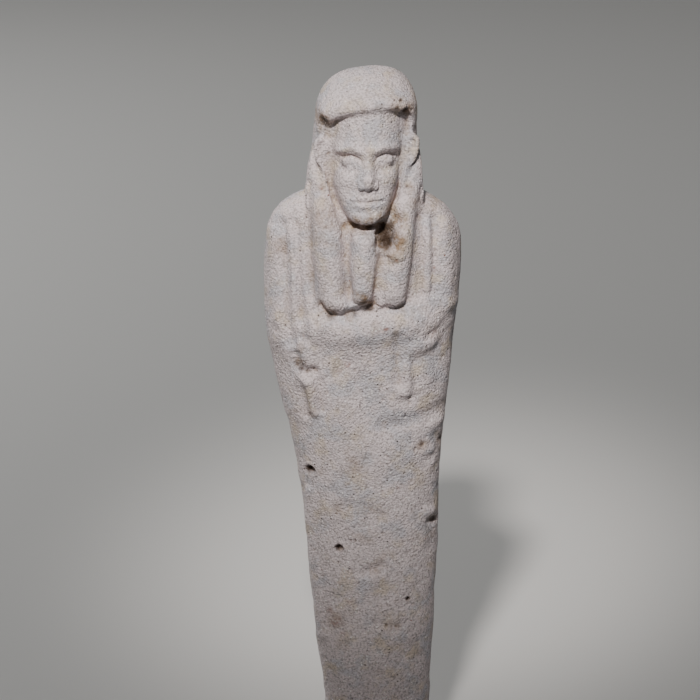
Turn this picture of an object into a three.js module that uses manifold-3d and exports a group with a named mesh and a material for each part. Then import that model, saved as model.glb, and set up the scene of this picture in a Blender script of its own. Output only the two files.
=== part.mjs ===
// A small mummiform funerary figurine, moulded and fired in one piece: a wrapped body on a low plinth,
// with a long wig, crossed arms, two tools and a pillar down the back.
// Millimetres, +Z up. The origin is the middle of the underside, and the figure faces -Y.
import * as THREE from 'three';
import { mergeVertices } from 'three/addons/utils/BufferGeometryUtils.js';
import Module from 'manifold-3d';

const wasm = await Module();
wasm.setup();

// Overall sizes
const height = 103; // underside of the plinth to the crown
const elbowWidth = 27.1; // the widest place, across the wrapped elbows
const trunkDepth = 13.6; // wrapped body alone, front to back at the elbows
const footing = 18.6; // front of the plinth to the back of the pillar

// Plinth, feet and pillar
const plinthHeight = 3.2;
const plinthWidth = 16.4;
const plinthEdge = 0.5; // worn rounding of its edges
const footLength = 12.5;
const footHeight = 6.2; // above the plinth, at the instep
const footWidth = 14.2;
const pillarWidth = 8.2;
const pillarTopShare = 0.78; // where the pillar meets the wig, as a share of the height

// Head and wig
const headWidth = 13.7; // across the wig's dome
const headDepth = 14;
const browBand = 0.8; // how far the wig's edge stands out over the forehead
const browHeight = 3.2; // top to bottom of that thick edge
const faceWidth = 10.7;
const earHeight = 5.2;
const earWidth = 2.5;
const beardWidth = 5.2;
const beardDepth = 2.7;
const beardSeat = 0.8; // how much of the beard's depth is sunk in the chest
const beardGap = 0.2; // the groove between the chin and the beard's upper end
const beardDrift = 0.27; // how far the beard hangs to the left as seen from the front
const lappetWidth = 5.5;
const lappetThickness = 3;
const lappetDrift = 0.8; // the lappet on the right as seen from the front hangs this much nearer the beard
const tailWidth = 15.2; // the wig across the back

// Arms and tools
const sleeveWidth = 4.2; // upper arm under the wrapping
const sleeveRise = 0.5;
const forearmWidth = 7; // the two crossed forearms together, top to bottom
const forearmRise = 0.7;
const fistWidth = 4.8;
const fistRise = 0.95; // how far a fist stands out of the wrapping
const shaftWidth = 1.9; // the tools' handles, where they lie over the shoulders
const handleWidth = 1.7; // the same handles, where they come out under the fists

// Levels, as shares of the height
const level = (share) => share * height;
const crown = level(1);
const domeBase = level(0.935); // where the crown starts to round in
const browLine = level(0.9545);
const chin = level(0.806);
const neckTop = level(0.839); // where the shoulders have closed to the neck
const shoulder = level(0.745); // where they start to round in
const lappetEnd = level(0.685);
const beardEnd = level(0.701);
const tailEnd = level(0.77);
const forearmLevel = level(0.66);
const shoulderSag = 0.8; // how much lower the figure's left shoulder lies, at the viewer's right

const back = footing / 2;
const front = -footing / 2;

const colour = { paste: 0xd8d2c6 };

const clamp = THREE.MathUtils.clamp;
const lerp = THREE.MathUtils.lerp;
const smooth = THREE.MathUtils.smoothstep;
const sides = [-1, 1];

// A smooth curve through rows of [level share, value, ...], held at its ends
function curveOf(rows) {
  const levels = rows.map(([share]) => level(share));
  const values = rows.flatMap(([, ...rest]) => rest);
  const curve = new THREE.CubicInterpolant(levels, values, rows[0].length - 1);
  return (z) => curve.evaluate(clamp(z, level(rows[0][0]), level(rows.at(-1)[0])));
}

// Wrapped body: level share, then its half-width as a share of the elbow width and its front and back
// as shares of the trunk's depth
const trunkCurve = curveOf([
  [0.018, 0.273, 0.33, 0.47],
  [0.085, 0.27, 0.29, 0.475],
  [0.15, 0.291, 0.33, 0.475],
  [0.24, 0.317, 0.385, 0.475],
  [0.33, 0.341, 0.415, 0.475],
  [0.42, 0.359, 0.43, 0.475],
  [0.49, 0.391, 0.45, 0.49],
  [0.55, 0.428, 0.475, 0.505],
  [0.6, 0.461, 0.485, 0.515],
  [0.65, 0.486, 0.48, 0.52],
  [0.7, 0.497, 0.465, 0.52],
  [0.745, 0.5, 0.45, 0.505],
]);

// The paste bent a little while it was wet: level share, then the way sideways as a share of the width
const bendCurve = curveOf([
  [0.1, 0.028],
  [0.3, 0.02],
  [0.48, 0.011],
  [0.54, -0.001],
  [0.6, -0.011],
  [0.66, -0.016],
  [0.7, -0.008],
  [0.735, 0.004],
  [0.775, 0.009],
  [0.84, 0.01],
  [0.93, 0.031],
  [1, 0.055],
]);
const sag = (x, z) => shoulderSag
  * smooth(x, elbowWidth * 0.2, elbowWidth * 0.36)
  * smooth(z, shoulder, neckTop - 3)
  * (1 - smooth(z, neckTop, neckTop + 6));
const trunkBoxiness = 2.25; // 2 is an ellipse
const shoulderBoxiness = 3.3;

// A point of the unit circle, pushed out towards the corners of a box
function rounded(angle, boxiness) {
  const stretch = (value) => Math.sign(value) * Math.abs(value) ** (2 / boxiness);
  return [stretch(Math.cos(angle)), stretch(Math.sin(angle))];
}

// A closed three.js shape, its points moved one by one and then bent with the body, as a solid
function sculpt(geometry, move = () => {}) {
  const plain = geometry.clone();
  plain.deleteAttribute('normal');
  plain.deleteAttribute('uv');
  const merged = mergeVertices(plain, 1e-5);
  const place = merged.attributes.position;
  const point = new THREE.Vector3();
  for (let i = 0; i < place.count; i++) {
    point.fromBufferAttribute(place, i);
    move(point);
    place.setXYZ(i, point.x + elbowWidth * bendCurve(point.z)[0], point.y, point.z - sag(point.x, point.z));
  }
  return new wasm.Manifold(new wasm.Mesh({
    numProp: 3,
    vertProperties: Float32Array.from(place.array),
    triVerts: Uint32Array.from(merged.index.array),
  }));
}

// A stack of rounded sections, closed at both ends, with more columns in front than behind.
// section(t) gives [z, half, front, back] and relief(x, z) how far the front stands out of that.
function stack({ columns, rows, boxiness, section, relief = () => 0, crowding = 0.4 }) {
  const drum = new THREE.CylinderGeometry(1, 1, 1, columns, rows).rotateX(Math.PI / 2);
  return sculpt(drum, (p) => {
    const [z, half, ahead, behind] = section(clamp(p.z + 0.5, 0, 1));
    const reach = Math.hypot(p.x, p.y);
    const even = Math.atan2(p.x, -p.y);
    const turn = even - crowding * Math.sin(even); // 0 straight ahead
    const [dy, dx] = rounded(turn, boxiness);
    const x = dx * reach * half;
    const facing = smooth(dy, 0.05, 0.5) * reach;
    const rise = facing > 0 ? relief(x, z) * facing : 0;
    const lean = clamp((dx * ahead) / half, -1, 1);
    p.set(x + rise * lean * 0.5, -dy * reach * (dy > 0 ? ahead : behind) - rise, z);
  });
}

// A roll of paste laid along a curve, round at both ends. out(t) is the way its face looks, half(t)
// its half-width and thick(t) its half-thickness; bluntness is how square the ends are.
function roll(points, { half, thick, out, bluntness = 2.5, boxiness = 2.2, columns = 12, rows = 12 }) {
  const curve = new THREE.CatmullRomCurve3(points.map((p) => new THREE.Vector3(...p)));
  const value = (size, t) => (typeof size === 'function' ? size(t) : size);
  return sculpt(new THREE.SphereGeometry(1, columns, rows), (p) => {
    const turn = Math.acos(clamp(p.y, -1, 1)) / Math.PI;
    const t = clamp(0.45 * turn + 0.55 * (1 - Math.cos(Math.PI * turn)) / 2, 0, 1);
    const end = (1 - Math.abs(2 * t - 1) ** bluntness) ** (1 / bluntness);
    const [x, y] = rounded(Math.atan2(p.z, p.x), boxiness);
    const tangent = curve.getTangent(t);
    const across = value(out, t).clone().cross(tangent).normalize();
    const face = tangent.clone().cross(across);
    p.copy(curve.getPoint(t))
      .addScaledVector(across, x * end * value(half, t))
      .addScaledVector(face, y * end * value(thick, t));
  });
}

// An egg of paste
function lump(centre, radii, columns = 12, rows = 8) {
  return sculpt(new THREE.SphereGeometry(1, columns, rows).rotateX(Math.PI / 2), (p) => {
    p.multiply(new THREE.Vector3(...radii)).add(new THREE.Vector3(...centre));
  });
}

// The wrapped body's half-width, front and back at a height, with the shoulders rounding in
function trunkAt(z) {
  const [half, ahead, behind] = trunkCurve(z);
  const rise = clamp((z - shoulder) / (neckTop - shoulder), 0, 1);
  const closing = (1 - rise ** shoulderBoxiness) ** (1 / shoulderBoxiness);
  const deep = trunkDepth * lerp(closing, 1, 0.35);
  return [elbowWidth * half * closing, deep * ahead, deep * behind];
}

// How far a place [x, z] is from a line of such places
function distanceTo(marks, x, z) {
  const place = new THREE.Vector2(x, z);
  const nearest = marks.slice(1).map((end, i) => {
    const along = end.clone().sub(marks[i]);
    const t = clamp(place.clone().sub(marks[i]).dot(along) / along.lengthSq(), 0, 1);
    return place.distanceTo(along.multiplyScalar(t).add(marks[i]));
  });
  return Math.min(...nearest);
}

// A soft ridge along a line of [x, z], flat on top and falling away at its edges
function ridge(points, rise, width, flat) {
  const marks = points.map((point) => new THREE.Vector2(...point));
  return (x, z) => rise * (1 - smooth(distanceTo(marks, x, z) / (width / 2), flat, 1));
}

// What the wrapping shows of the arms: a sleeve down each side and the crossed forearms
const sleeves = sides.map((side) => ridge(
  [[0.39, 0.81], [0.425, 0.76], [0.415, 0.665]].map(([across, up]) => [side * elbowWidth * across, level(up)]),
  sleeveRise,
  sleeveWidth,
  0.3,
));
const forearms = ridge(
  [[-0.4, -0.2], [0, 0], [0.36, -0.06]]
    .map(([across, up]) => [across * elbowWidth, forearmLevel + up * forearmWidth]),
  forearmRise,
  forearmWidth,
  0.2,
);
const wrapping = (x, z) => Math.max(forearms(x, z), ...sleeves.map((sleeve) => sleeve(x, z)));

// A point on the front of the body, lifted off it, and the way the body's skin looks there
function onTrunk(x, z, lift = 0) {
  const [half, ahead] = trunkAt(z);
  const share = clamp(Math.abs(x) / half, 0, 0.985);
  return [x, -ahead * (1 - share ** trunkBoxiness) ** (1 / trunkBoxiness) - lift, z];
}
function skin(x, z) {
  const step = 0.2;
  const slopeX = (onTrunk(x + step, z)[1] - onTrunk(x - step, z)[1]) / (2 * step);
  const slopeZ = (onTrunk(x, z + step)[1] - onTrunk(x, z - step)[1]) / (2 * step);
  return new THREE.Vector3(slopeX, -1, slopeZ).normalize();
}

// A roll that lies on the front of the body, through points given as x, z and lift
function onFront(marks, shape) {
  const out = (t) => {
    const place = t * (marks.length - 1);
    const i = Math.min(Math.floor(place), marks.length - 2);
    const [x, z] = [0, 1].map((k) => lerp(marks[i][k], marks[i + 1][k], place - i));
    return skin(x, z);
  };
  return roll(marks.map((mark) => onTrunk(...mark)), { out, ...shape });
}

function wrappedBody() {
  const low = plinthHeight / 2;
  const waist = level(0.53);
  return stack({
    columns: 40,
    rows: 38,
    boxiness: trunkBoxiness,
    relief: wrapping,
    section: (t) => {
      const bend = (Math.PI / 2) * 0.94 * clamp((t - 0.8) / 0.2, 0, 1);
      const straight = t < 0.25 ? lerp(low, waist, t / 0.25) : lerp(waist, shoulder, (t - 0.25) / 0.55);
      const z = t < 0.8 ? straight : lerp(shoulder, neckTop, Math.sin(bend));
      return [z, ...trunkAt(z)];
    },
  });
}

function plinth() {
  const corner = 1.2;
  const w = plinthWidth / 2 - plinthEdge;
  const d = footing / 2 - plinthEdge;
  const plan = new THREE.Shape();
  plan.moveTo(w, d - corner);
  plan.absarc(w - corner, d - corner, corner, 0, Math.PI / 2);
  plan.absarc(corner - w, d - corner, corner, Math.PI / 2, Math.PI);
  plan.absarc(corner - w, corner - d, corner, Math.PI, 1.5 * Math.PI);
  plan.absarc(w - corner, corner - d, corner, 1.5 * Math.PI, 2 * Math.PI);
  const slab = new THREE.ExtrudeGeometry(plan, {
    depth: plinthHeight - 2 * plinthEdge,
    bevelSize: plinthEdge,
    bevelThickness: plinthEdge,
    bevelSegments: 1,
    curveSegments: 3,
  });
  return sculpt(slab.translate(0, 0, plinthEdge));
}

function feet() {
  const sink = 0.6;
  const toe = front + plinthEdge + 0.3;
  const heel = toe + footLength;
  const low = plinthHeight - sink;
  const instep = (footHeight + sink) / 2;
  const tip = instep * 0.62;
  return roll(
    [[0, heel, low + instep], [0, lerp(heel, toe, 0.5), low + instep], [0, toe, low + tip]],
    {
      half: (t) => (footWidth / 2) * lerp(1, 0.93, t),
      thick: (t) => lerp(instep, tip, smooth(t, 0.35, 1)),
      out: new THREE.Vector3(0, 0, 1),
      bluntness: 4,
      boxiness: 2.9,
      columns: 20,
      rows: 12,
    },
  );
}

function pillar() {
  const waist = pillarWidth / 2;
  const plan = new THREE.Shape([
    new THREE.Vector2(-waist, 0),
    new THREE.Vector2(waist, 0),
    new THREE.Vector2(waist * 0.92, back - plinthEdge),
    new THREE.Vector2(waist * 0.8, back),
    new THREE.Vector2(-waist * 0.8, back),
    new THREE.Vector2(-waist * 0.92, back - plinthEdge),
  ]);
  return sculpt(new THREE.ExtrudeGeometry(plan, {
    depth: level(pillarTopShare),
    steps: 12,
    bevelEnabled: false,
  }));
}

// The wig's rounded hood, with its thick edge standing out over the forehead
function hood() {
  const start = level(0.81);
  const edge = ridge(
    [[-0.5, -0.6], [-0.3, -0.02], [0, 0.2], [0.3, 0.12], [0.5, -0.4]]
      .map(([across, up]) => [across * headWidth, browLine + up * browHeight]),
    browBand,
    browHeight,
    0.3,
  );
  return stack({
    columns: 34,
    rows: 20,
    boxiness: 2.2,
    relief: edge,
    section: (t) => {
      const bend = (Math.PI / 2) * 0.985 * clamp((t - 0.45) / 0.55, 0, 1);
      const z = t < 0.45 ? lerp(start, domeBase, t / 0.45) : lerp(domeBase, crown, Math.sin(bend));
      const drop = clamp((domeBase - z) / (domeBase - start), 0, 1);
      const half = (headWidth / 2) * (1 + 0.2 * drop);
      const ahead = headDepth * lerp(0.51, 0.44, drop);
      const behind = headDepth * lerp(0.49, 0.44, drop);
      const closing = Math.cos(bend);
      return [z, half * closing ** 0.66, ahead * closing ** 0.85, behind * closing];
    },
  });
}

// The hollow in the front of the hood that the face sits in, narrowing down to the beard. Its outline
// is given as shares of the wig's half-width and of the drop from the brow to the foot of the chin.
function opening() {
  const outline = [
    [0, 0], [0.35, 0.008], [0.6, 0.035], [0.78, 0.095], [0.88, 0.2],
    [0.87, 0.36], [0.77, 0.56], [0.66, 0.76], [0.5, 0.93], [0, 1.12],
  ];
  const slant = 0.1;
  const place = ([across, down], side) => {
    const x = side * across * (headWidth / 2);
    return new THREE.Vector2(x, lerp(browLine + 0.4, chin - 0.6, down) + slant * x * (1 - down));
  };
  const curve = [
    ...outline.map((mark) => place(mark, -1)),
    ...outline.slice(1, -1).reverse().map((mark) => place(mark, 1)),
  ];
  const plan = new THREE.Shape(new THREE.SplineCurve([...curve, curve[0]]).getPoints(40).slice(1));
  const depth = headDepth * 0.7;
  const cutter = new THREE.ExtrudeGeometry(plan, { depth, bevelEnabled: false });
  return sculpt(cutter.rotateX(Math.PI / 2).translate(0, -headDepth * 0.3, 0));
}

// The wig's two front lappets, from the wig's edge beside the jaw down to the chest. Each row gives the
// level, middle, half-width, front face and outward lean.
function lappet(side) {
  const half = lappetWidth / 2;
  const thick = lappetThickness / 2;
  const onWig = (share, across, wide, ahead, lean) => ({
    z: level(share), x: (headWidth / 2) * across, half: wide, face: headDepth * -ahead, lean,
  });
  const onChest = (share, across, wide, lean) => {
    const x = (headWidth / 2) * across - (side > 0 ? lappetDrift : 0);
    return { z: level(share), x, half: wide, face: onTrunk(x, level(share), lappetThickness / 2)[1], lean };
  };
  const rows = [
    onWig(0.9, 0.97, 0.2, 0.22, 0.8),
    onWig(0.86, 0.95, 0.5, 0.33, 0.7),
    onWig(0.825, 0.905, 0.72, 0.41, 0.5),
    onChest(0.785, 0.775, 0.93, 0.25),
    onChest(0.74, 0.72, 1, 0.15),
    onChest(lappetEnd / height, 0.67, 0.98, 0.1),
  ];
  const at = (t, key) => {
    const place = t * (rows.length - 1);
    const i = Math.min(Math.floor(place), rows.length - 2);
    return lerp(rows[i][key], rows[i + 1][key], place - i);
  };
  return roll(
    rows.map((row) => [side * row.x, row.face + thick, row.z]),
    {
      half: (t) => half * at(t, 'half'),
      thick,
      out: (t) => new THREE.Vector3(side * at(t, 'lean'), -1, 0.05),
      bluntness: 4.5,
      boxiness: 2.5,
      columns: 12,
      rows: 16,
    },
  );
}

// The wig's broad tail, cut straight across the shoulder blades
function tail() {
  const [, , behind] = trunkAt(tailEnd);
  const seat = behind - 1.2;
  return roll(
    [[0, headDepth * 0.12, level(0.93)], [0, headDepth * 0.22, level(0.86)], [0, seat - 0.9, tailEnd]],
    {
      half: (t) => lerp(headWidth * 0.44, tailWidth / 2, smooth(t, 0, 0.75)),
      thick: (t) => lerp(headDepth * 0.24, 3, t),
      out: new THREE.Vector3(0, 1, 0.1),
      bluntness: 7,
      boxiness: 2.5,
      columns: 18,
      rows: 10,
    },
  );
}

// The face's plain form: how far up it, then its half-width as a share of its width and how far it
// stands in front of the wig's middle as a share of the wig's depth
const faceRows = [
  [0, 0.2, 0.53],
  [0.03, 0.25, 0.58],
  [0.1, 0.35, 0.59],
  [0.2, 0.42, 0.575],
  [0.33, 0.465, 0.56],
  [0.5, 0.492, 0.545],
  [0.66, 0.5, 0.53],
  [0.82, 0.49, 0.515],
  [1, 0.45, 0.475],
];
const faceCurve = new THREE.CubicInterpolant(
  faceRows.map(([up]) => up),
  faceRows.flatMap(([, ...rest]) => rest),
  2,
);

// One soft swelling of the face's relief, 1 at its middle
const swell = (x, z, x0, z0, wide, tall) => Math.exp(-(((x - x0) / wide) ** 2) - ((z - z0) / tall) ** 2);

// How far the face stands out of its plain form at a place on it. The hairline, brows, foot of the nose
// and chin are a third of the face apart, the face is five eyes wide and the mouth a third of the way down.
function features(x, z) {
  const third = (browLine - chin) / 3;
  const eye = faceWidth / 5;
  const brows = browLine - third;
  const noseFoot = brows - third;
  const mouth = noseFoot - third / 3;
  const side = Math.abs(x);
  const along = clamp((brows - z) / third, 0, 1);
  const noseWide = lerp(0.7, 1.3, along);
  const nose = lerp(0.5, 1.35, along) * Math.exp(-((x / noseWide) ** 2) * 1.1)
    * smooth(z, noseFoot - 0.5, noseFoot + 0.5) * (1 - smooth(z, brows - 0.3, brows + 1));
  const brow = 0.45 * swell(side, z, eye * 1.15, brows + 0.15, eye * 1.1, 0.65);
  const socket = -0.6 * swell(side, z, eye * 1.1, brows - 1.4, eye * 0.95, 1.1);
  const cheek = 0.35 * swell(side, z, eye * 1.45, noseFoot + 1.2, eye * 0.8, 1.5);
  const muzzle = 0.35 * swell(x, z, 0, mouth, eye * 1.1, 1.5);
  const upperLip = swell(x, z, 0, mouth + 0.5, eye * 0.85, 0.4);
  const lowerLip = swell(x, z, 0, mouth - 0.55, eye * 0.7, 0.4);
  const lips = 0.38 * (upperLip + lowerLip);
  const underLip = -0.3 * swell(x, z, 0, mouth - 1.5, eye * 0.8, 0.45);
  return nose + brow + socket + cheek + muzzle + lips + underLip;
}

function face() {
  const top = browLine + 1;
  return stack({
    columns: 32,
    rows: 26,
    boxiness: 2.25,
    crowding: 0.55,
    relief: features,
    section: (t) => {
      const [half, ahead] = faceCurve.evaluate(t);
      return [lerp(chin, top, t), faceWidth * half, headDepth * ahead, 0];
    },
  });
}

// An eye, between its lids, standing a little out of its socket
function eye(side) {
  const wide = faceWidth / 5;
  const x = side * wide * 1.12;
  const z = lerp(browLine, chin, 0.43);
  const [half, ahead] = faceCurve.evaluate((z - chin) / (browLine + 1 - chin));
  const fullness = (1 - Math.abs(x / (faceWidth * half)) ** 2.25) ** (1 / 2.25);
  const y = -headDepth * ahead * fullness - features(x, z);
  return lump([x, y + wide * 0.1, z], [wide * 0.5, wide * 0.3, wide * 0.27], 10, 6);
}

function ear(side) {
  const middle = lerp(browLine, chin, 0.38);
  const tip = earHeight / 2;
  const x = side * (faceWidth / 2 + earWidth * 0.12);
  const y = -headDepth * 0.26;
  const rim = roll(
    [[x - side * 0.2, y - 0.4, middle + tip * 0.75],
      [x + side * earWidth * 0.36, y - 0.2, middle + tip * 0.6],
      [x + side * earWidth * 0.3, y - 0.2, middle - tip * 0.3], [x - side * 0.25, y - 0.6, middle - tip]],
    { half: 0.5, thick: 1, out: new THREE.Vector3(side * 0.5, -1, 0), columns: 8, rows: 10 },
  );
  return rim.add(lump([x, y + 0.1, middle], [earWidth * 0.42, 0.95, tip * 0.85], 10, 8));
}

// The false beard, hanging straight from the chin
function beard() {
  const [, outer] = onTrunk(0, beardEnd, beardDepth * 0.8);
  const y = outer + beardDepth / 2 + beardSeat;
  return roll(
    [[-beardDrift, y + 0.3, chin - beardGap],
      [-beardDrift, y + 0.2, lerp(chin, beardEnd, 0.4)],
      [-beardDrift, y, beardEnd]],
    {
      half: (t) => (beardWidth / 2) * lerp(1, 0.85, t),
      thick: beardDepth / 2 + beardSeat,
      out: new THREE.Vector3(0, -1, 0),
      bluntness: 4,
      boxiness: 2.5,
      columns: 12,
      rows: 10,
    },
  );
}

// The middle of each hand as [x, z]; the one on the right sits a little higher and further out
const hands = { left: [elbowWidth * -0.3, level(0.625)], right: [elbowWidth * 0.305, level(0.64)] };

// A clenched hand, mostly sunk in the wrapping
function fist([x, z]) {
  const [px, py, pz] = onTrunk(x, z, fistRise);
  const deep = fistWidth * 0.36;
  return lump([px, py + deep, pz + fistWidth * 0.08], [fistWidth / 2, deep, fistWidth * 0.56], 14, 10);
}

// The tools' handles: over the shoulder between lappet and arm, and again under the fist
function handles() {
  const overShoulder = (side) => onFront(
    [[side * elbowWidth * 0.325, level(0.822), -0.35],
      [side * elbowWidth * 0.336, level(0.77), 0],
      [side * elbowWidth * 0.333, level(0.69), 0]],
    { half: shaftWidth / 2, thick: shaftWidth * 0.35, columns: 8, rows: 10, bluntness: 4 },
  );
  const underFist = (x, lean, end) => onFront(
    [[x, level(0.616), -0.15],
      [x + lean * 0.5, level((0.616 + end) / 2), -0.05],
      [x + lean, level(end), -0.3]],
    { half: handleWidth / 2, thick: handleWidth * 0.4, columns: 8, rows: 8, bluntness: 4 },
  );
  return [
    overShoulder(-1),
    overShoulder(1),
    underFist(hands.left[0] + 0.5, 0.4, 0.548),
    underFist(hands.right[0] - 2.8, 0.3, 0.565),
  ];
}

function figurine() {
  const head = hood().subtract(opening());
  const pieces = [
    wrappedBody(), plinth(), feet(), pillar(), tail(), face(), beard(),
    ...Object.values(hands).map(fist), ...handles(),
    ...sides.flatMap((side) => [lappet(side), ear(side), eye(side)]),
  ];
  return pieces.reduce((whole, piece) => whole.add(piece), head);
}

// A solid as a three.js shape with flat faces
function shapeOf(body) {
  const mesh = body.getMesh();
  const shape = new THREE.BufferGeometry();
  shape.setAttribute('position', new THREE.BufferAttribute(Float32Array.from(mesh.vertProperties), 3));
  shape.setIndex(new THREE.BufferAttribute(Uint32Array.from(mesh.triVerts), 1));
  return shape;
}

const paste = new THREE.MeshStandardMaterial({ color: colour.paste, roughness: 0.92, metalness: 0 });
const ushabti = new THREE.Mesh(shapeOf(figurine()), paste);
ushabti.name = 'ushabti_figurine';

const group = new THREE.Group();
group.add(ushabti);
export default group;
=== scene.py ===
import math
import random

import bmesh
import bpy
import numpy as np
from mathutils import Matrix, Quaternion, Vector, noise


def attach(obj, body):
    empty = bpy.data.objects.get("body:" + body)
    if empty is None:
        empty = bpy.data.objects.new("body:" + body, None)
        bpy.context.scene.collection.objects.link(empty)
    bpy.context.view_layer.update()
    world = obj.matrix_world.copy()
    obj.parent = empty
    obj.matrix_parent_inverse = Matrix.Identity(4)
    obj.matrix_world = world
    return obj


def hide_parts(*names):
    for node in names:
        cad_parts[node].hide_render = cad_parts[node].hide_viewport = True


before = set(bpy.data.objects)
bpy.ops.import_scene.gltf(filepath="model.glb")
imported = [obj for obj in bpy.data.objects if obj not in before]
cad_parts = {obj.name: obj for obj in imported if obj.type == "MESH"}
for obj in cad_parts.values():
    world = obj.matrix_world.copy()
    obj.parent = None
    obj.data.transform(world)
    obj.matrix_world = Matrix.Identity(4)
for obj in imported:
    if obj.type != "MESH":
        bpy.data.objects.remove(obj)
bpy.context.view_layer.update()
scene = bpy.context.scene
mm = 0.001


def linearColour(code):  # sRGB hex to the linear colour that Blender's sockets want
    values = [int(code[i:i + 2], 16) / 255 for i in (0, 2, 4)]
    return [v / 12.92 if v <= 0.04045 else ((v + 0.055) / 1.055) ** 2.4 for v in values] + [1]


def openSocket(sockets, name=None):  # the first socket in use, of that name where one is given
    return next(socket for socket in sockets if socket.enabled and name in (None, socket.name))


def addNode(tree, kind, links=None, **settings):
    node = tree.nodes.new(kind)
    for name, value in settings.items():
        setattr(node, name, value)
    for key, source in (links or {}).items():
        target = node.inputs[key] if isinstance(key, int) else openSocket(node.inputs, key)
        if isinstance(source, bpy.types.Node):
            source = openSocket(source.outputs)
        if isinstance(source, bpy.types.NodeSocket):
            tree.links.new(source, target)
        else:
            target.default_value = source
    return node


# Camera: a long lens a little above the figurine and to its right, turned slightly, as in the photograph
cameraView = {
    "elevation": 18.0,
    "azimuth": -3.0,
    "roll": -1.3,
    "distance": 450 * mm,
    "target": (-1.965 * mm, 0, 63 * mm),
    "lens": 166.7,
    "sensor": 36,
    "nearest": 10 * mm,
}


def makeCamera(s):
    up, round_ = math.radians(s["elevation"]), math.radians(s["azimuth"])
    back = Vector((math.sin(round_) * math.cos(up), -math.cos(round_) * math.cos(up), math.sin(up)))
    camera = bpy.data.objects.new("camera", bpy.data.cameras.new("camera"))
    camera.data.sensor_width = s["sensor"]
    camera.data.lens = s["lens"]
    camera.data.clip_start = s["nearest"]
    camera.location = Vector(s["target"]) + back * s["distance"]
    camera.rotation_mode = "QUATERNION"
    roll = Quaternion((0, 0, 1), math.radians(s["roll"]))
    camera.rotation_quaternion = (-back).to_track_quat("-Z", "Y") @ roll
    scene.collection.objects.link(camera)
    scene.camera = camera


makeCamera(cameraView)

# Studio: a soft-edged spotlight high on the left, a weak fill and a plain pale floor
studio = {
    "spot": {
        "place": (-0.062, -0.345, 0.40),
        "aim": (0, 0, 0.076),
        "radius": 0.02,
        "cone": 12,
        "blend": 1,
        "power": 12.3,
        "colour": "FFF9F5",
    },
    "lamps": {
        "fill": {"place": (0.40, -0.50, 0.20), "size": 0.5, "power": 0.12, "colour": "F2F4FF"},
        "rim": {"place": (-0.35, 0.35, 0.35), "size": 0.3, "power": 1.5, "colour": "FFFFFF"},
        "wash": {"place": (0.1, 0.5, 0.9), "size": 0.8, "power": 1.3, "colour": "FFFFFF"},
    },
    "aim": (0, 0, 0.065),
    "world": 0.025,
    "floorSize": 3.0,
    "floorColour": "D9D8D5",
    "floorRoughness": 0.9,
}


def hangLight(light, lamp, aim):
    light.energy = lamp["power"]
    light.color = linearColour(lamp["colour"])[:3]
    holder = bpy.data.objects.new(light.name, light)
    holder.location = lamp["place"]
    holder.rotation_mode = "QUATERNION"
    holder.rotation_quaternion = (Vector(aim) - Vector(lamp["place"])).to_track_quat("-Z", "Y")
    scene.collection.objects.link(holder)


def makeStudio(s):
    spot = bpy.data.lights.new("spot", "SPOT")
    spot.shadow_soft_size = s["spot"]["radius"]
    spot.spot_size = math.radians(s["spot"]["cone"])
    spot.spot_blend = s["spot"]["blend"]
    hangLight(spot, s["spot"], s["spot"]["aim"])
    for name, lamp in s["lamps"].items():
        light = bpy.data.lights.new(name, "AREA")
        light.size = lamp["size"]
        hangLight(light, lamp, s["aim"])
    world = bpy.data.worlds.new("studio")
    world.use_nodes = True
    world.node_tree.nodes["Background"].inputs["Color"].default_value = [s["world"]] * 3 + [1]
    scene.world = world
    sheet = bmesh.new()
    bmesh.ops.create_grid(sheet, x_segments=1, y_segments=1, size=s["floorSize"] / 2)
    mesh = bpy.data.meshes.new("floor")
    sheet.to_mesh(mesh)
    sheet.free()
    paper = bpy.data.materials.new("matt background paper")
    paper.use_nodes = True
    shader = paper.node_tree.nodes["Principled BSDF"]
    shader.inputs["Base Color"].default_value = linearColour(s["floorColour"])
    shader.inputs["Roughness"].default_value = s["floorRoughness"]
    mesh.materials.append(paper)
    floor = bpy.data.objects.new("floor", mesh)
    scene.collection.objects.link(floor)


makeStudio(studio)
print("camera, lights and floor are up")

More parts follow.
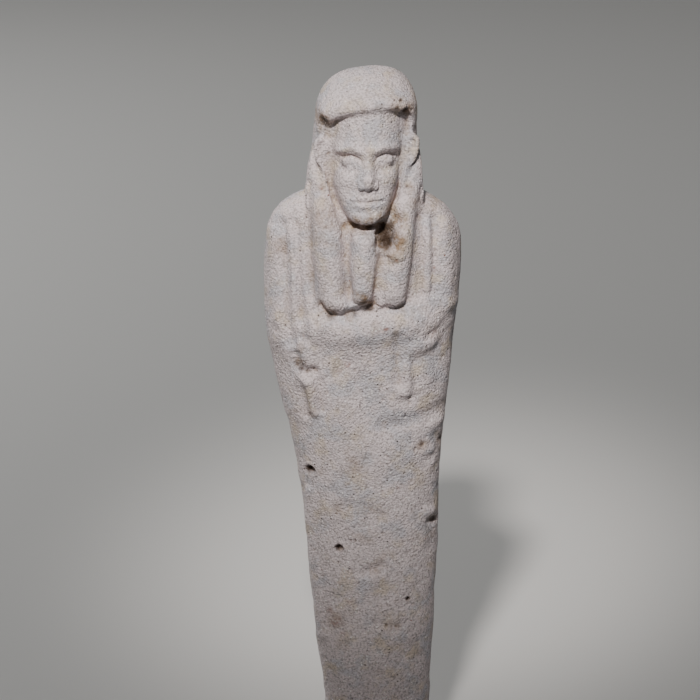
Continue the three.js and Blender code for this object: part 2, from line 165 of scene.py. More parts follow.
# The figurine's skin: the solid's own mesh, melted together as worn faience is, then carved finer.
# Lengths are in millimetres. A mark is a place [x, z] seen from the front; a stroke runs through its
# marks, lifts the skin by its rise or cuts it when that is negative, and fades out at its width.
figurine = {
    "weld": 0.001,
    "voxel": 0.2,
    "melt": {"rounds": 14, "share": 0.5},
    "maxTriangles": 190000,
    "wig": [
        {"marks": [[-5.4, 98.0], [-2.0, 99.5], [2.0, 99.9], [6.4, 98.9]], "rise": 0.45, "width": 1.9},
        {"marks": [[-5.6, 84.5], [-5.1, 78.5], [-4.6, 73.2]], "rise": 0.7, "width": 2.6},
        {"marks": [[5.5, 84.0], [4.8, 78.5], [4.0, 73.2]], "rise": 0.65, "width": 2.5},
        {"marks": [[-5.2, 71.8], [-4.2, 71.8]], "rise": 0.3, "width": 1.6},
        {"marks": [[-0.1, 80.6], [-0.3, 77.0], [-0.6, 72.6]], "rise": 0.8, "width": 2.1},
        {"marks": [[3.1, 79.1], [3.8, 78.9], [4.5, 78.6]], "rise": 0.4, "width": 1.0},
        {"marks": [[-3.2, 71.7], [-2.4, 71.9], [-1.9, 72.3]], "rise": 0.9, "width": 1.5},
        {"marks": [[1.6, 72.8], [1.8, 71.7]], "rise": 0.5, "width": 0.9},
        {"marks": [[-2.5, 81.2], [-2.7, 77.9], [-2.5, 74.5], [-2.1, 72.5]], "rise": -1.0, "width": 0.95},
        {"marks": [[2.4, 78.4], [2.2, 77.2], [1.6, 74.3], [1.3, 71.9]], "rise": -0.8, "width": 1.1},
        {"marks": [[-2.4, 82.4], [-0.8, 82.5], [1.0, 82.4], [2.6, 82.0], [3.7, 81.6]],
         "rise": -0.5, "width": 1.0},
        {"marks": [[4.2, 83.2], [3.3, 81.8], [2.8, 80.4]], "rise": -1.1, "width": 2.1},
        {"marks": [[-5.3, 97.2], [-4.9, 95.8], [-4.8, 94.8]], "rise": -0.5, "width": 1.0},
        {"marks": [[6.0, 98.0], [6.3, 96.8], [6.2, 95.0]], "rise": -0.7, "width": 0.9},
        {"marks": [[-7.6, 87.8], [-7.7, 85.5], [-7.6, 80.8], [-7.4, 76.5], [-7.0, 73.5], [-6.1, 71.5]],
         "rise": -0.5, "width": 1.6},
        {"marks": [[8.6, 86.5], [7.8, 84.0], [7.4, 80.1], [6.8, 76.0], [6.3, 72.4]],
         "rise": -0.5, "width": 1.6},
        {"marks": [[-6.2, 71.4], [-4.7, 70.0], [-3.0, 70.1], [-2.0, 70.6], [-0.4, 70.0],
                   [1.1, 70.5], [1.9, 70.8], [4.1, 70.7], [5.9, 71.4]], "rise": -0.35, "width": 0.9},
    ],
    "arms": [
        {"marks": [[-11.0, 82.5], [-10.8, 75.4], [-10.8, 70.0], [-10.3, 66.0]],
         "rise": -0.6, "width": 1.4},
        {"marks": [[-9.2, 82.5], [-9.0, 75.7], [-8.9, 70.1], [-8.6, 67.0]], "rise": -0.6, "width": 1.5},
        {"marks": [[-10.1, 82.0], [-9.9, 75.5], [-9.8, 68.5]], "rise": 0.3, "width": 1.1},
        {"marks": [[-8.2, 81.5], [-8.1, 76.0], [-7.9, 71.0]], "rise": 0.15, "width": 1.0},
        {"marks": [[-12.4, 81.0], [-12.3, 75.0], [-12.0, 69.0]], "rise": 0.3, "width": 1.6},
        {"marks": [[8.0, 83.0], [8.0, 78.3], [7.8, 72.6]], "rise": -0.6, "width": 1.2},
        {"marks": [[9.6, 82.7], [9.5, 78.3], [9.2, 72.6]], "rise": -0.6, "width": 1.3},
        {"marks": [[8.8, 82.0], [8.8, 78.0], [8.5, 73.0]], "rise": 0.4, "width": 1.0},
        {"marks": [[11.2, 81.5], [11.4, 75.0], [11.0, 70.5]], "rise": 0.3, "width": 1.8},
        {"marks": [[-9.9, 64.3], [-9.5, 62.8], [-8.5, 61.9], [-7.3, 62.0]], "rise": -0.7, "width": 1.2},
        {"marks": [[-9.0, 60.9], [-8.1, 60.6]], "rise": 0.3, "width": 1.0},
        {"marks": [[-8.9, 59.0], [-8.7, 55.5]], "rise": -0.3, "width": 1.1},
        {"marks": [[-6.7, 60.6], [-6.4, 56.5]], "rise": -0.3, "width": 1.1},
        {"marks": [[-7.9, 60.2], [-7.7, 58.5], [-7.3, 55.8]], "rise": 0.5, "width": 1.2},
        {"marks": [[-5.6, 67.5], [-5.6, 63.8]], "rise": -0.3, "width": 1.4},
        {"marks": [[4.1, 66.8], [4.4, 63.0], [4.5, 60.0]], "rise": -0.55, "width": 1.3},
        {"marks": [[5.3, 62.2], [5.6, 59.9], [5.3, 58.4]], "rise": 0.4, "width": 1.3},
        {"marks": [[6.6, 62.5], [6.6, 59.5]], "rise": -0.25, "width": 1.1},
        {"marks": [[4.4, 57.3], [5.3, 57.0], [6.2, 57.6]], "rise": -0.2, "width": 1.0},
        {"marks": [[6.2, 63.0], [7.8, 63.2], [9.2, 63.7], [10.2, 64.9], [11.0, 66.6]],
         "rise": -0.2, "width": 1.4},
        {"marks": [[8.4, 66.4], [9.8, 66.9], [11.0, 68.0]], "rise": -0.25, "width": 1.0},
        {"marks": [[6.8, 65.0], [8.6, 65.6]], "rise": 0.4, "width": 1.8},
        {"marks": [[9.4, 62.4], [10.4, 60.6], [9.3, 58.6]], "rise": -0.2, "width": 1.4},
        {"marks": [[11.6, 70.4], [12.4, 70.0]], "rise": 0.25, "width": 1.6},
        {"marks": [[-6.6, 68.6], [-3.7, 68.2], [0, 68.2], [4.5, 68.4], [6.5, 68.8]],
         "rise": 0.55, "width": 3.4},
    ],
    "belly": [
        {"marks": [[-2.8, 63.4], [-3.7, 61.8]], "rise": -0.2, "width": 1.4},
        {"marks": [[-1.7, 63.2], [-1.0, 61.0]], "rise": -0.15, "width": 1.2},
        {"marks": [[-0.8, 60.3], [2.0, 53.2]], "rise": -0.35, "width": 3.0},
        {"marks": [[2.4, 53.5], [6.8, 54.2], [10.2, 55.1]], "rise": -0.35, "width": 1.8},
        {"marks": [[-4.0, 57.5], [-5.0, 52.0]], "rise": 0.2, "width": 2.6},
        {"marks": [[-4.6, 41.6], [-2.8, 42.0]], "rise": -0.15, "width": 1.4},
        {"marks": [[-0.6, 41.9], [1.6, 40.7]], "rise": -0.15, "width": 1.6},
        {"marks": [[2.2, 22.2], [5.2, 21.0]], "rise": 0.2, "width": 2.4},
        {"marks": [[0.4, 24.2], [1.7, 23.7], [3.6, 23.2]], "rise": -0.25, "width": 1.1},
        {"marks": [[-1.4, 30.9], [1.6, 31.0]], "rise": 0.15, "width": 1.4},
        {"marks": [[-0.6, 31.9], [0.4, 32.3], [1.4, 32.6]], "rise": -0.35, "width": 1.3},
        {"marks": [[8.1, 40.1], [8.7, 39.9]], "rise": 0.45, "width": 1.1},
        {"marks": [[8.5, 38.5], [9.3, 38.3]], "rise": -0.35, "width": 1.1},
        {"marks": [[8.8, 37.8], [8.5, 34.5]], "rise": -0.3, "width": 1.5},
        {"marks": [[8.6, 49.3], [7.9, 49.4]], "rise": 0.35, "width": 1.1},
        {"marks": [[9.2, 52.9], [10.0, 53.3]], "rise": 0.3, "width": 1.4},
        {"marks": [[9.6, 50.9], [10.4, 50.0]], "rise": -0.35, "width": 1.1},
        {"marks": [[8.9, 47.4], [8.4, 46.2], [8.8, 44.6]], "rise": 0.25, "width": 1.1},
        {"marks": [[-8.3, 43.7], [-8.5, 37.3], [-8.0, 32.5], [-7.4, 26.2], [-6.7, 21.7]],
         "rise": 0.45, "width": 1.2},
        {"marks": [[-9.4, 43.5], [-9.5, 37.3], [-9.0, 32.5], [-8.4, 26.2]], "rise": -0.4, "width": 1.2},
    ],
    # Places worn rounder than the rest, fully so within a share of the stroke's width
    "softCore": 0.4,
    "soft": [
        {"rounds": 60, "strokes": [
            {"marks": [[-1.0, 86.2], [1.6, 86.2]], "width": 1.8},
            {"marks": [[-6.9, 71.6], [-4.9, 70.4], [-2.9, 71.4]], "width": 1.2},
            {"marks": [[1.9, 71.4], [3.9, 70.4], [5.9, 71.4]], "width": 1.2},
            {"marks": [[7.9, 84.5], [7.2, 80.1], [6.6, 76.0], [6.0, 72.6]], "width": 1.3},
            {"marks": [[-5.9, 96.4], [-4.2, 98.0], [-1.5, 98.9], [2.0, 99.2], [5.6, 98.6], [6.9, 97.2]],
             "width": 1.7},
        ]},
        {"rounds": 160, "strokes": [
            {"marks": [[-9.5, 63.5], [0, 64.0], [7.0, 63.5], [10.0, 64.5], [12.0, 66.5]], "width": 4.5},
            {"marks": [[-9.3, 82.0], [-9.3, 71.0]], "width": 2.2},
            {"marks": [[-2.5, 80.2], [-2.7, 77.9], [-2.6, 74.5], [-2.3, 71.4]], "width": 1.9},
            {"marks": [[2.3, 79.0], [2.1, 77.6], [1.7, 74.3], [1.6, 71.4]], "width": 1.4},
            {"marks": [[9.0, 82.0], [9.0, 71.0]], "width": 2.2},
            {"marks": [[-8.4, 62.0], [-7.3, 55.5]], "width": 2.6},
            {"marks": [[5.4, 61.0], [5.7, 57.5]], "width": 2.4},
        ]},
        {"rounds": 300, "strokes": [
            {"marks": [[6.0, 63.0], [8.5, 63.6], [10.0, 65.2]], "width": 3.4},
            {"marks": [[6.7, 63.0], [6.6, 58.6], [5.6, 57.2]], "width": 1.8},
        ]},
    ],
    # Holes as [x, z, across, deep], each with a soft lip
    "holes": [
        [-8.1, 46.9, 1.5, 0.85], [-4.4, 35.5, 1.3, 0.8], [-2.7, 36.8, 0.4, 0.25], [-2.1, 36.8, 0.4, 0.25],
        [5.2, 27.3, 0.8, 0.5], [-0.1, 32.2, 0.8, 0.15], [9.0, 38.4, 1.1, 0.25],
        [2.0, 23.6, 0.7, 0.2], [3.4, 23.3, 0.5, 0.15], [7.6, 50.4, 0.8, 0.2],
        [4.4, 99.8, 0.4, 0.2], [5.3, 99.7, 0.5, 0.3], [-0.6, 102.7, 0.5, 0.2], [3.4, 102.5, 0.5, 0.2],
        [-3.2, 101.8, 0.6, 0.2], [0.9, 101.2, 0.4, 0.2], [-4.7, 99.8, 0.5, 0.2], [2.2, 102.7, 0.4, 0.15],
    ],
    # A wall or a lip runs between two shares of the hole's radius
    "holeWall": (0.45, 1.15),
    "lip": {"reach": (1, 1.9), "high": 0.12},
    # Places where bits broke off, as [x, z, across, deep], with a rough and slanting floor
    "chips": [[3.4, 77.3, 1.2, 0.15], [1.3, 71.2, 1.0, 0.3]],
    "chipFloor": {
        "seed": 5, "apart": 0.6, "ragged": 0.35, "slant": 0.5, "turns": (2.1, 1.7), "wall": (0.55, 1.05),
    },
    "pits": {"seed": 11, "number": 600, "across": (0.3, 0.65), "deep": (0.08, 0.24), "wall": (0.3, 1.2)},
    # The face stays free of pits: fully so within the first reach of this line, not at all past the second
    "clear": {"marks": [[0.6, 85.5], [0.9, 95]], "reach": (3.6, 4.6)},
    # Unevenness of the surface as [how far apart, how high]
    "waves": [[8.0, 0.22], [3.2, 0.1], [1.2, 0.035]],
    # Slanting streaks on the wrapped legs, which fade out between two levels
    "streaks": {
        "seed": 9, "apart": 1.7, "along": 7.0, "through": 0.3, "lean": 42, "high": 0.11, "levels": (50, 62),
    },
}


def copyOfNode(name, settings):
    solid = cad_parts[name]
    shape = bmesh.new()
    shape.from_mesh(solid.data)
    bmesh.ops.remove_doubles(shape, verts=shape.verts, dist=settings["weld"] * mm)
    mesh = bpy.data.meshes.new("figurineSkin")
    shape.to_mesh(mesh)
    shape.free()
    piece = bpy.data.objects.new("figurineSkin", mesh)
    scene.collection.objects.link(piece)
    remesh = piece.modifiers.new("remesh", "REMESH")
    remesh.mode = "VOXEL"
    remesh.voxel_size = settings["voxel"] * mm
    melt = piece.modifiers.new("melt", "SMOOTH")
    melt.factor = settings["melt"]["share"]
    melt.iterations = settings["melt"]["rounds"]
    bakeModifiers(piece)
    return piece


def bakeModifiers(piece):  # the modifiers' result becomes the piece's own mesh
    graph = bpy.context.evaluated_depsgraph_get()
    made = bpy.data.meshes.new_from_object(piece.evaluated_get(graph))
    piece.modifiers.clear()
    old = piece.data
    piece.data = made
    bpy.data.meshes.remove(old)


def thinOut(piece, most):  # fewer triangles where the surface is plain
    piece.data.calc_loop_triangles()
    share = most / len(piece.data.loop_triangles)
    if share < 1:
        thin = piece.modifiers.new("thin", "DECIMATE")
        thin.ratio = share
        thin.use_collapse_triangulate = True
        bakeModifiers(piece)


def fade(value, low, high):  # 0 below low, 1 above high, smooth between
    t = np.clip((value - low) / (high - low), 0, 1)
    return t * t * (3 - 2 * t)


facing = (0.0, 0.35)  # a point is carved as its normal turns to the front, from not at all to fully
footing = (0.3, 2.0)  # millimetres up: the sole keeps its place below, and all moves freely above
seedStep = 17.3  # how far apart two seeds look at the same random hills
dirtAndShadeFacing = 0.2  # dirt and painted shade lie on what faces the front or a side, and on what turns this much to the back


class Skin:  # the piece's points and normals in millimetres, to be moved all at once
    def __init__(self, piece):
        self.mesh = piece.data
        self.read()

    def read(self):
        count = len(self.mesh.vertices)
        flat = np.empty(count * 3, np.float32)
        self.mesh.vertices.foreach_get("co", flat)
        self.place = flat.reshape(-1, 3).astype(float) / mm
        self.mesh.vertex_normals.foreach_get("vector", flat)
        self.out = flat.reshape(-1, 3).astype(float)
        self.front = fade(-self.out[:, 1], *facing) * (self.place[:, 1] < 0)

    def write(self):
        self.mesh.vertices.foreach_set("co", (self.place * mm).astype(np.float32).ravel())
        self.mesh.update()
        self.read()

    def lift(self, height):
        free = fade(self.place[:, 2], *footing)
        self.place += self.out * (height * free)[:, None]
        self.write()

    def fromLine(self, marks):  # distance of every point from a line of marks, seen from the front
        seen = self.place[:, [0, 2]]
        marks = np.array(marks, float)
        nearest = np.full(len(seen), 1e9)
        for start, end in zip(marks[:-1], marks[1:]):
            along = end - start
            t = np.clip((seen - start) @ along / max(along @ along, 1e-9), 0, 1)
            nearest = np.minimum(nearest, np.linalg.norm(seen - start - t[:, None] * along, axis=1))
        return nearest

    def fromSpot(self, x, z):
        return self.fromLine([[x, z], [x, z]])

    def under(self, stroke, core=0):  # 1 on the stroke, or within a core of its width, and 0 past its width
        return 1 - fade(self.fromLine(stroke["marks"]) / stroke["width"], core, 1)

    def noise(self, stretch, seed):  # soft random hills, about -1 to 1
        spread = self.place @ np.array(stretch, float)
        shift = seed * seedStep
        return np.array([noise.noise((x + shift, y, z)) for x, y, z in spread.tolist()])

    def writeValue(self, name, value):
        layer = self.mesh.attributes.new(name, "FLOAT", "POINT")
        layer.data.foreach_set("value", value.astype(np.float32))


def carve(skin, strokes):
    height = np.zeros(len(skin.place))
    for stroke in strokes:
        height += stroke["rise"] * skin.under(stroke) * skin.front
    skin.lift(height)


def soften(skin, s):
    for group in s["soft"]:
        mask = np.zeros(len(skin.place))
        for stroke in group["strokes"]:
            mask = np.maximum(mask, skin.under(stroke, s["softCore"]) * (skin.place[:, 1] < 0))
        skin.place += (relax(skin, group["rounds"]) - skin.place) * mask[:, None]
        skin.write()


# The face: calm and regular, a hairline, brows, foot of the nose and chin each a third apart, five eyes
# wide, with an eye's width between the eyes. Strokes on one side are given once and mirrored.
face = {
    "top": 98.3,
    "chin": 83.0,
    "width": 10.7,
    "middle": (0.27, 0.045),  # the middle's x at the chin, and how far it leans for each millimetre up
    "single": [
        {"marks": [[0, 2.0], [0, 1.3]], "rise": 0.25, "width": 1.0},
        {"marks": [[0, 1.25], [0, 1.15]], "rise": 0.35, "width": 0.9},
        {"marks": [[0, 0.97], [0, 0.86]], "rise": -0.12, "width": 0.35},
        {"marks": [[-0.8, 0.72], [-0.25, 0.79], [0, 0.77], [0.25, 0.79], [0.8, 0.72]],
         "rise": 0.1, "width": 0.5},
        {"marks": [[-0.65, 0.58], [0, 0.53], [0.65, 0.58]], "rise": 0.12, "width": 0.55},
        {"marks": [[-0.9, 0.67], [-0.4, 0.67], [0, 0.66], [0.4, 0.67], [0.9, 0.67]],
         "rise": -0.22, "width": 0.32},
        {"marks": [[-0.4, 0.4], [0.4, 0.4]], "rise": -0.1, "width": 0.6},
        {"marks": [[-0.3, 0.18], [0.3, 0.18]], "rise": 0.4, "width": 1.8},
    ],
    "mirrored": [
        {"marks": [[0.4, 2.0], [1.1, 2.12], [1.85, 1.98]], "rise": 0.25, "width": 0.6},
        {"marks": [[0.55, 1.8], [1.1, 1.9], [1.65, 1.8]], "rise": -0.22, "width": 0.38},
        {"marks": [[0.85, 1.7], [1.35, 1.7]], "rise": 0.28, "width": 0.8},
        {"marks": [[0.52, 1.68], [0.8, 1.79], [1.1, 1.82], [1.4, 1.79], [1.7, 1.7]],
         "rise": 0.16, "width": 0.3},
        {"marks": [[0.55, 1.64], [1.1, 1.56], [1.65, 1.65]], "rise": 0.14, "width": 0.3},
        {"marks": [[0.62, 1.5], [1.1, 1.44], [1.6, 1.5]], "rise": -0.15, "width": 0.4},
        {"marks": [[0.47, 1.1], [0.47, 1.06]], "rise": 0.3, "width": 0.55},
        {"marks": [[0.72, 1.18], [0.72, 1.02]], "rise": -0.2, "width": 0.35},
        {"marks": [[0.22, 0.97], [0.3, 0.98]], "rise": -0.15, "width": 0.35},
        {"marks": [[1.45, 1.2], [1.55, 1.1]], "rise": 0.35, "width": 2.0},
        {"marks": [[1.3, 0.75], [0.9, 0.3]], "rise": 0.45, "width": 1.8},
    ],
}


def carveFace(skin, s):  # marks are in eyes' widths from the middle and thirds of the face above the chin
    eye = s["width"] / 5
    third = (s["top"] - s["chin"]) / 3
    start, lean = s["middle"]

    def placed(stroke, side):
        marks = [
            [start + lean * up * third + side * across * eye, s["chin"] + up * third]
            for across, up in stroke["marks"]
        ]
        return {**stroke, "marks": marks}

    strokes = [placed(stroke, 1) for stroke in s["single"]]
    strokes += [placed(stroke, side) for stroke in s["mirrored"] for side in (-1, 1)]
    carve(skin, strokes)


def pressHoles(skin, s):
    height = np.zeros(len(skin.place))
    for x, z, across, deep in s["holes"]:
        near = skin.fromSpot(x, z) / (across / 2)
        lip = s["lip"]["high"] * (1 - fade(near, *s["lip"]["reach"]))
        sunk = 1 - fade(near, *s["holeWall"])
        height += deep * (lip - sunk) * skin.front
    clear = (1 - fade(skin.fromLine(s["clear"]["marks"]), *s["clear"]["reach"])) * skin.front
    rng = random.Random(s["pits"]["seed"])
    for _ in range(s["pits"]["number"]):
        middle = skin.place[rng.randrange(len(skin.place))]
        across = rng.uniform(*s["pits"]["across"])
        deep = rng.uniform(*s["pits"]["deep"])
        near = np.linalg.norm(skin.place - middle, axis=1) / (across / 2)
        height -= deep * (1 - fade(near, *s["pits"]["wall"])) * (1 - clear)
    skin.lift(height)


def breakChips(skin, s):
    height = np.zeros(len(skin.place))
    floor = s["chipFloor"]
    ragged = floor["ragged"] * skin.noise(np.eye(3) / floor["apart"], floor["seed"])
    sideways, up = skin.place[:, 0] * floor["turns"][0], skin.place[:, 2] * floor["turns"][1]
    for i, (x, z, across, deep) in enumerate(s["chips"]):
        near = skin.fromSpot(x, z) / (across / 2) + ragged
        slant = 1 + floor["slant"] * np.sin(sideways + i) * np.cos(up)
        height -= deep * slant * (1 - fade(near, *floor["wall"])) * skin.front
    skin.lift(height)


def weather(skin, s):
    height = np.zeros(len(skin.place))
    for seed, (apart, high) in enumerate(s["waves"]):
        height += high * skin.noise(np.eye(3) / apart, seed)
    line = s["streaks"]
    lean = math.radians(line["lean"])
    along = np.array([math.cos(lean), 0, math.sin(lean)]) / line["along"]
    across = np.array([-math.sin(lean), 0, math.cos(lean)]) / line["apart"]
    through = np.array([0, line["through"], 0])
    streak = skin.noise(np.stack([along, through, across], axis=1), line["seed"])
    height += line["high"] * streak * (1 - fade(skin.place[:, 2], *line["levels"]))
    skin.lift(height)


def relax(skin, rounds):  # the points evened out between their neighbours
    edges = np.empty(len(skin.mesh.edges) * 2, np.int32)
    skin.mesh.edges.foreach_get("vertices", edges)
    a, b = edges.reshape(-1, 2).T
    count = np.bincount(a, minlength=len(skin.place)) + np.bincount(b, minlength=len(skin.place))
    place = skin.place.copy()
    for _ in range(rounds):
        total = [
            np.bincount(a, place[b, k], len(place)) + np.bincount(b, place[a, k], len(place))
            for k in range(3)
        ]
        place = 0.5 * place + 0.5 * np.stack(total, axis=1) / count[:, None]
    return place


skinPiece = copyOfNode("ushabti_figurine", figurine)
skin = Skin(skinPiece)
print("figurine skin:", len(skin.place), "points")
soften(skin, figurine)
for group in ("wig", "arms", "belly"):
    carve(skin, figurine[group])
carveFace(skin, face)
print("figurine carved")
weather(skin, figurine)
breakChips(skin, figurine)
pressHoles(skin, figurine)
print("figurine worn")
thinOut(skinPiece, figurine["maxTriangles"])
skin = Skin(skinPiece)
print("figurine thinned to", len(skin.mesh.polygons), "faces")

# Dirt that stays in the hollows, and painted shade in the hollows and under overhangs. Each spot is [x, z,
# across, strength]
dirtAndShade = {
    # Hollows found by evening the skin out, in few rounds the fine ones and in many the broad ones; earth
    # and painted shade are laid in them
    "hollows": [{"rounds": 6, "depth": (0.02, 0.175)}, {"rounds": 40, "depth": (0.05, 0.35)}],
    "edge": {"seed": 21, "apart": 1.1, "ragged": 0.3, "reach": (0.2, 1.15)},
    # Tan: earth stains, and painted shade under the brow roll, under the chin and jaw, at the ends of the
    # beard and lappets and under the left fist
    "tan": [
        [-5.2, 97.0, 3.2, 0.9], [6.0, 98.4, 3.0, 0.8], [0.0, 98.9, 1.6, 0.4], [2.4, 99.2, 1.6, 0.4],
        [4.4, 99.0, 2.0, 0.6], [-2.0, 82.6, 2.2, 0.8], [0.2, 82.6, 2.4, 0.8], [2.6, 82.2, 2.4, 1.0],
        [3.2, 81.0, 5.6, 1.0], [4.2, 80.4, 4.2, 1.0], [-0.9, 84.1, 1.8, 0.8], [0.6, 83.9, 2.2, 0.9],
        [2.1, 84.1, 2.2, 1.0], [3.8, 84.6, 2.2, 0.7], [3.4, 79.0, 2.6, 0.7], [4.6, 83.2, 3.4, 0.9],
        [-0.6, 72.8, 2.8, 1.0], [0.4, 71.6, 2.6, 1.0], [-1.3, 73.6, 1.6, 0.6], [-4.9, 70.6, 2.8, 0.7],
        [-2.4, 70.3, 2.0, 0.6], [-6.2, 71.9, 1.8, 0.5], [4.6, 70.9, 2.0, 0.4], [6.3, 87.2, 2.0, 0.7],
        [7.1, 85.4, 2.4, 0.5], [9.5, 84.2, 2.8, 0.4], [-5.6, 87.8, 1.8, 0.5], [-5.4, 84.0, 5.5, 0.5],
        [-6.7, 82.0, 3.6, 0.35], [-4.2, 80.5, 3.6, 0.3], [-11.3, 79.5, 3.0, 0.6], [-9.4, 63.2, 2.2, 0.6],
        [-9.0, 65.4, 2.2, 0.4], [7.6, 50.3, 2.4, 0.6], [10.2, 50.0, 2.0, 0.5], [-5.0, 24.5, 4.0, 0.5],
        [-4.2, 20.9, 2.8, 0.4], [0.6, 32.3, 2.4, 0.6], [1.4, 34.2, 2.4, 0.35], [9.0, 38.4, 2.2, 0.5],
        [8.8, 36.4, 2.4, 0.4], [-2.0, 48.4, 3.6, 0.4], [-0.1, 41.6, 2.4, 0.45], [1.6, 40.8, 2.0, 0.4],
        [-4.5, 41.6, 2.2, 0.35], [3.8, 78.2, 2.2, 0.5], [-7.6, 55.6, 1.8, 0.4], [3.2, 23.4, 3.0, 0.35],
    ],
    # Brown: dark brown in the pits and stains, and painted shade in the brow corners, the hollow under the
    # chin, under the ends of the beard and lappets and in the crease under the left fist
    "brown": [
        [0.4, 71.1, 1.5, 0.8], [-0.5, 72.3, 1.5, 0.6],
        [-4.9, 70.2, 1.3, 0.6], [-1.5, 70.3, 0.9, 0.7], [-5.0, 97.1, 1.6, 0.8], [5.9, 98.2, 1.4, 0.8],
        [4.7, 98.9, 0.8, 0.6], [2.9, 81.0, 3.4, 1.0], [2.8, 80.3, 2.4, 1.0], [2.6, 81.9, 2.4, 1.0],
        [3.5, 82.4, 1.8, 0.8], [0.8, 82.6, 1.8, 0.5], [-1.2, 82.7, 1.4, 0.5], [-8.1, 46.9, 1.5, 1.0],
        [-4.4, 35.5, 1.4, 1.0], [5.2, 27.3, 0.9, 0.9], [-2.7, 36.8, 0.5, 0.9], [-2.1, 36.8, 0.5, 0.9],
        [9.0, 38.3, 1.2, 0.6], [-9.4, 62.8, 0.8, 0.6], [-8.9, 62.2, 1.0, 0.9], [-8.2, 61.9, 0.9, 0.6],
        [2.0, 23.6, 0.9, 0.6], [4.4, 99.8, 0.4, 0.8], [5.3, 99.7, 0.6, 1.0], [7.5, 50.4, 0.8, 0.6],
        [10.3, 50.1, 0.9, 0.6], [6.0, 87.5, 0.6, 0.7], [-7.8, 55.8, 0.8, 0.5],
    ],
    "rust": [
        [2.6, 68.1, 1.0, 0.9], [-2.7, 63.0, 1.2, 0.9], [-3.9, 62.0, 1.0, 0.5], [9.6, 75.8, 0.8, 0.8],
        [-5.6, 87.6, 0.6, 0.8], [4.2, 78.1, 0.8, 0.5], [-5.8, 25.8, 1.6, 0.5], [-5.0, 24.0, 1.8, 0.5],
        [-4.2, 22.2, 1.4, 0.5], [-2.9, 27.5, 1.6, 0.35], [-7.6, 68.8, 0.5, 0.8], [-8.5, 67.1, 0.5, 0.7],
        [9.2, 66.7, 1.6, 0.4], [2.0, 44.3, 0.8, 0.5], [4.1, 44.5, 0.7, 0.6], [2.0, 42.2, 0.7, 0.4],
    ],
}


def settleDirtAndShade(skin, s):
    hollow = np.zeros(len(skin.place))
    for kind in s["hollows"]:
        sunk = np.einsum("ij,ij->i", relax(skin, kind["rounds"]) - skin.place, skin.out)
        hollow = np.maximum(hollow, fade(sunk, *kind["depth"]))
    skin.writeValue("hollow", hollow)
    edge = s["edge"]
    ragged = edge["ragged"] * skin.noise(np.eye(3) / edge["apart"], edge["seed"])
    for kind in ("tan", "brown", "rust"):
        amount = np.zeros(len(skin.place))
        for x, z, across, strength in s[kind]:
            near = skin.fromSpot(x, z) / (across / 2) + ragged
            cover = strength * (1 - fade(near, *edge["reach"]))
            amount = np.maximum(amount, cover * (skin.out[:, 1] < dirtAndShadeFacing))
        skin.writeValue(kind, amount)


settleDirtAndShade(skin, dirtAndShade)

# The paste: powdery white faience whose glaze has gone, so it is matt and sugary, with earth and painted
# shade left in its hollows. A layer covers what is under it with its colour. A patch layer has soft patches
# so many millimetres apart, with the pattern's two levels turned into two amounts; a dot layer has round
# marks in a share of its cells. A mask keeps a layer to places painted on the figurine.
paste = {
    "body": "E3D7D8",
    "roughness": 0.86,
    "specular": 0.35,
    "layers": [
        {"what": "bluish patches where the glaze was", "colour": "CECBD1",
         "apart": 3.6, "levels": (0.52, 0.36), "amounts": (0, 0.9)},
        {"what": "warm patches from the ground", "colour": "DBCBB9",
         "apart": 3.0, "levels": (0.5, 0.72), "amounts": (0, 0.8)},
        {"what": "thin tan stains", "colour": "96816A",
         "apart": 2.4, "levels": (0.58, 0.76), "amounts": (0, 0.35)},
        {"what": "sand", "colour": "8F8784",
         "apart": 0.3, "levels": (0.45, 0.66), "amounts": (0, 0.62)},
        # White quartz grains, also standing in as painted glints of the sugary surface
        {"what": "quartz grains and painted glints", "colour": "FAF8F6",
         "apart": 0.55, "dot": 0.28, "share": 0.55, "amount": 0.9},
        # Earth and painted shade: darkens every hollow the mask finds, where shade would fall
        {"what": "earth and painted shade in the hollows", "colour": "96816A",
         "apart": 0.7, "levels": (0.32, 0.62), "amounts": (0.15, 0.6), "mask": "hollow"},
        # Tan earth and painted shade, where the tan spots lie
        {"what": "tan earth and painted shade", "colour": "8F7558",
         "apart": 0.7, "levels": (0.32, 0.62), "amounts": (0.3, 0.9), "mask": "tan"},
        {"what": "rusty earth", "colour": "8A5540",
         "apart": 0.5, "levels": (0.4, 0.6), "amounts": (0.1, 0.9), "mask": "rust"},
        # Brown earth and painted shade, nearly black, where the brown spots lie
        {"what": "brown earth and painted shade", "colour": "3C2C20",
         "apart": 0.7, "levels": (0.3, 0.55), "amounts": (0.85, 1), "mask": "brown"},
        {"what": "open pores", "colour": "453629",
         "apart": 1.15, "dot": 0.3, "share": 0.5, "amount": 0.75, "sunk": 0.8},
        {"what": "rusty specks", "colour": "84523C",
         "apart": 2.6, "dot": 0.34, "share": 0.4, "amount": 0.8},
    ],
    # The sugary grain is two patterns added up, beads and hills. Real quartz grains are finer than the
    # picture can show, so these and the layers' grains, pores and sand are as coarse as they need to show.
    "grains": [
        {"kind": "ShaderNodeTexVoronoi", "value": "Distance", "apart": 0.34, "weight": -0.5},
        {"kind": "ShaderNodeTexNoise", "value": "Fac", "apart": 0.2, "weight": 0.6},
    ],
    "grainHeight": 0.27,
}


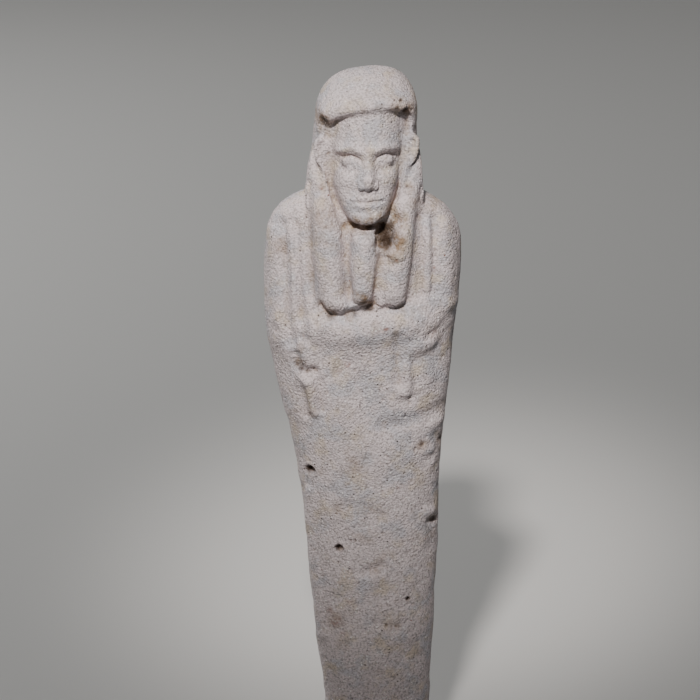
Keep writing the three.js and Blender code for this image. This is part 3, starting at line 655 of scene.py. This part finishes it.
def layerCover(tree, place, layer):  # how much of the layer shows at each place
    scale = 1 / (layer["apart"] * mm)
    steps = addNode(tree, "ShaderNodeVectorMath", {0: place, "Scale": scale}, operation="SCALE")
    if "dot" in layer:
        cells = addNode(tree, "ShaderNodeTexVoronoi", {"Vector": steps, "Scale": 1.0})
        reach = layer["dot"] / layer["apart"] / 2
        near = addNode(tree, "ShaderNodeMapRange", {
            "Value": cells.outputs["Distance"], "From Min": reach, "From Max": reach / 2,
            "To Max": layer["amount"],
        }, interpolation_type="SMOOTHSTEP")
        lot = addNode(tree, "ShaderNodeSeparateColor", {"Color": cells.outputs["Color"]})
        drawn = addNode(tree, "ShaderNodeMath", {0: lot, 1: layer["share"]}, operation="LESS_THAN")
        return addNode(tree, "ShaderNodeMath", {0: near, 1: drawn}, operation="MULTIPLY")
    hills = addNode(tree, "ShaderNodeTexNoise", {
        "Vector": steps, "Scale": 1.0, "Detail": 3.0, "Roughness": 0.55,
    })
    cover = addNode(tree, "ShaderNodeMapRange", {
        "Value": hills, "From Min": layer["levels"][0], "From Max": layer["levels"][1],
        "To Min": layer["amounts"][0], "To Max": layer["amounts"][1],
    }, interpolation_type="SMOOTHSTEP")
    if "mask" in layer:
        painted = addNode(tree, "ShaderNodeAttribute", attribute_name=layer["mask"])
        cover = addNode(tree, "ShaderNodeMath", {0: cover, 1: painted.outputs["Fac"]}, operation="MULTIPLY")
    return cover


def wornFaience(s):
    material = bpy.data.materials.new("worn faience paste")
    material.use_nodes = True
    tree = material.node_tree
    shader = tree.nodes["Principled BSDF"]
    shader.inputs["Roughness"].default_value = s["roughness"]
    shader.inputs["Specular IOR Level"].default_value = s["specular"]
    place = addNode(tree, "ShaderNodeTexCoord").outputs["Object"]

    height = 0.0
    for grain in s["grains"]:
        scale = 1 / (grain["apart"] * mm)
        steps = addNode(tree, "ShaderNodeVectorMath", {0: place, "Scale": scale}, operation="SCALE")
        hills = addNode(tree, grain["kind"], {"Vector": steps, "Scale": 1.0}).outputs[grain["value"]]
        height = addNode(tree, "ShaderNodeMath", {
            0: hills, 1: grain["weight"], 2: height,
        }, operation="MULTIPLY_ADD")

    ground = linearColour(s["body"])
    for layer in s["layers"]:
        cover = layerCover(tree, place, layer)
        ground = addNode(tree, "ShaderNodeMix", {
            "Factor": cover, "A": ground, "B": linearColour(layer["colour"]),
        }, data_type="RGBA", label=layer["what"])
        if "sunk" in layer:
            height = addNode(tree, "ShaderNodeMath", {
                0: cover, 1: -layer["sunk"], 2: height,
            }, operation="MULTIPLY_ADD")

    bump = addNode(tree, "ShaderNodeBump", {"Height": height, "Distance": s["grainHeight"] * mm})
    tree.links.new(bump.outputs[0], shader.inputs["Normal"])
    tree.links.new(openSocket(ground.outputs), shader.inputs["Base Color"])
    return material


skinPiece.data.materials.append(wornFaience(paste))
skinPiece.data.polygons.foreach_set("use_smooth", [True] * len(skinPiece.data.polygons))
print("paste mixed")

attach(skinPiece, "root")
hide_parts("ushabti_figurine")
